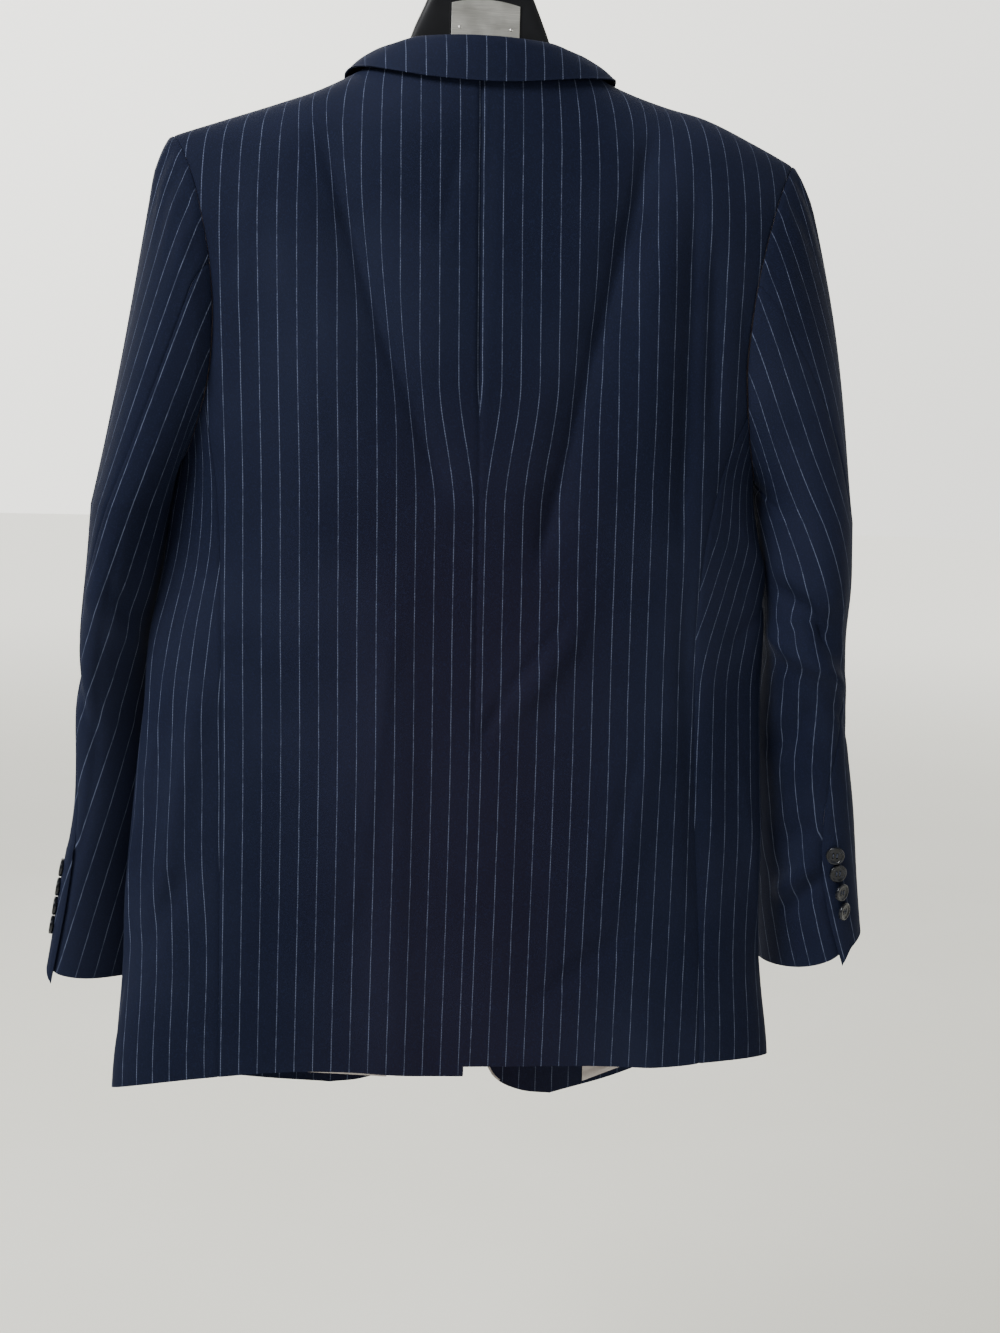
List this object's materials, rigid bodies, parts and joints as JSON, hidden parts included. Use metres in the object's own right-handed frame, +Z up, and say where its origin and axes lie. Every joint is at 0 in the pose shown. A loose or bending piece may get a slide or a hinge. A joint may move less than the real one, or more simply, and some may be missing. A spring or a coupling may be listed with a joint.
{
  "type": "suit jacket on a hanger",
  "caption": "Pin-striped suit jacket with notched lapels, a centre vent and buttoned cuffs, hanging closed on a broad-necked hanger.",
  "frame": {"origin": "inside top of the hanger's hook, where the rail carries it", "axes": "+Z up, -Y is the way the jacket's back faces, +Y the way its fronts face, and the wearer's left is -X"},
  "size_m": [0.6746, 0.1821, 0.9676],
  "materials": {
    "worsted_wool": "smooth worsted",
    "lining_satin": "satin",
    "button_resin": "polished",
    "black_plastic": "satin moulded",
    "brushed_metal": "brushed",
    "plated_wire": "bright plated"
  },
  "bodies": {
    "root": {"back_left": "worsted_wool", "back_right": "worsted_wool", "side_panel_left": "worsted_wool", "side_panel_right": "worsted_wool", "forepart_left": "worsted_wool", "forepart_right": "worsted_wool", "top_sleeve_left": "worsted_wool", "top_sleeve_right": "worsted_wool", "under_sleeve_left": "worsted_wool", "under_sleeve_right": "worsted_wool", "lapel_left": "worsted_wool", "lapel_right": "worsted_wool", "collar": "worsted_wool", "vent_underlap": "worsted_wool", "facing_right": "worsted_wool", "lining_left": "lining_satin", "lining_right": "lining_satin", "cuff_button_left_1": "button_resin", "cuff_button_left_2": "button_resin", "cuff_button_left_3": "button_resin", "cuff_button_left_4": "button_resin", "cuff_button_right_1": "button_resin", "cuff_button_right_2": "button_resin", "cuff_button_right_3": "button_resin", "cuff_button_right_4": "button_resin", "front_button_1": "button_resin", "front_button_2": "button_resin", "hanger_frame": "black_plastic", "hanger_plate": "brushed_metal", "hanger_hook": "plated_wire"}
  },
  "joints": []
}
